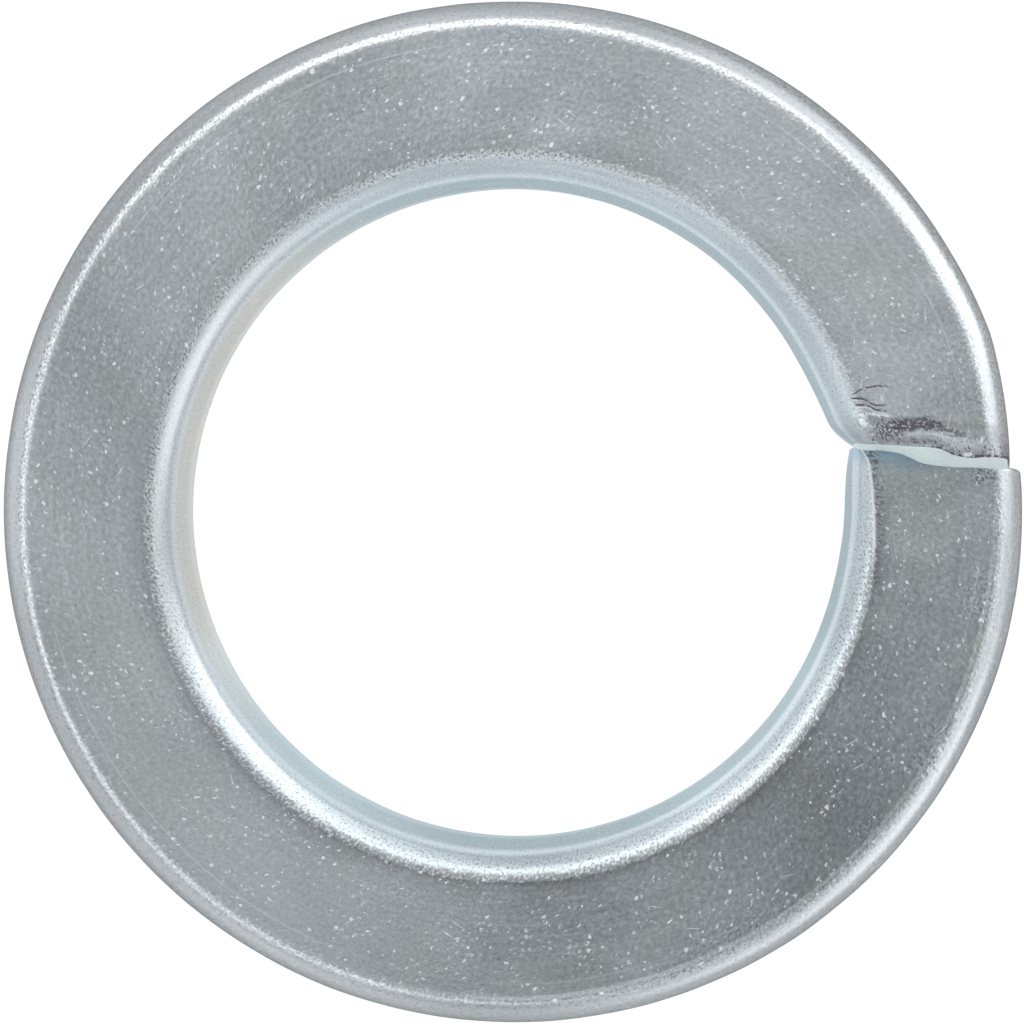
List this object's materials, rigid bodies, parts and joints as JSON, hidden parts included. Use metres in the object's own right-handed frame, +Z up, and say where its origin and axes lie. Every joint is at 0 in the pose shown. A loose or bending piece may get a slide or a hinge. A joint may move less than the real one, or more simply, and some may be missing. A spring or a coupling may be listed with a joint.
{
  "type": "spring lock washer",
  "caption": "Split helical spring lock washer of rounded rectangular steel wire, coiled one left-hand turn, with sheared ends and a plain bore for a bolt.",
  "frame": {"origin": "on the axis of the bore, at the height of the lowest point of the washer", "axes": "+Z up along the axis of the bore, +X towards the cut between the two ends, +Y square to both"},
  "size_m": [0.039, 0.039, 0.0107],
  "materials": {
    "zinc_plated_steel": "bright zinc plating with a faint blue cast, fine specks and light rolling marks"
  },
  "bodies": {
    "root": {"lock_washer": "zinc_plated_steel"}
  },
  "joints": []
}
